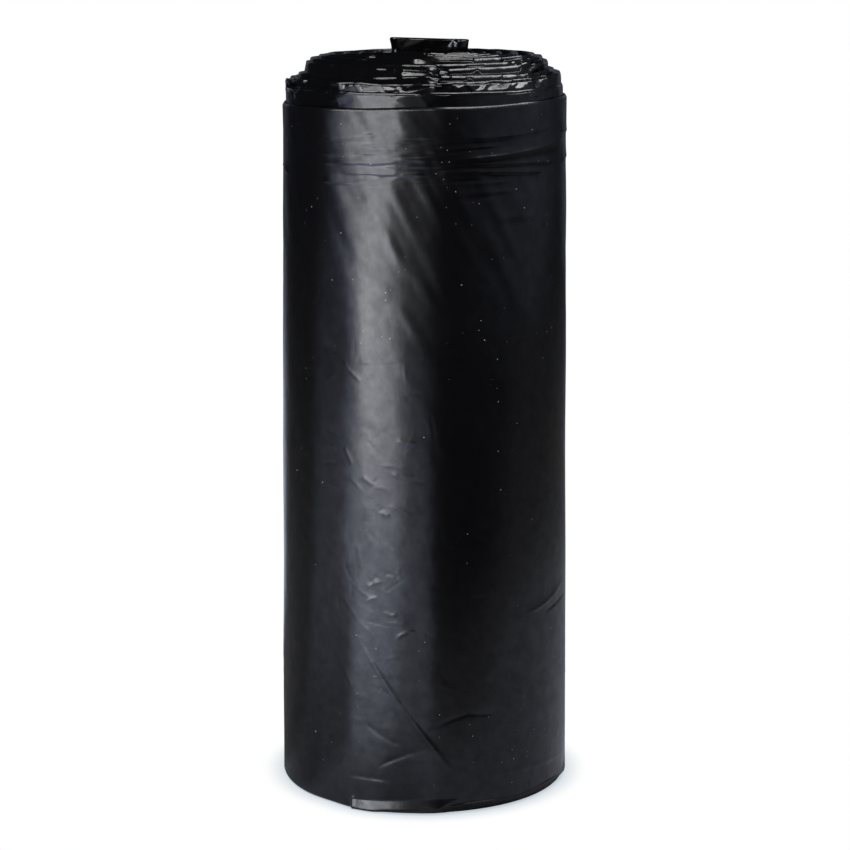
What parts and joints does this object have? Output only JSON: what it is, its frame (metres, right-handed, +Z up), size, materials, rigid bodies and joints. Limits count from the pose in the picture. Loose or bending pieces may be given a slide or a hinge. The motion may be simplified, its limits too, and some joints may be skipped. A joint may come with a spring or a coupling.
{
  "type": "bin bag roll",
  "caption": "Roll of black plastic bin bags, wound without a core and standing on its end, with turns that rise in steps towards a folded middle.",
  "frame": {"origin": "on the floor, on the roll's axis", "axes": "+Z up along the roll, front towards -Y, +X to the right"},
  "size_m": [0.0896, 0.0896, 0.2305],
  "materials": {
    "film": "glossy film"
  },
  "bodies": {
    "root": {"bag_roll": "film"}
  },
  "joints": []
}
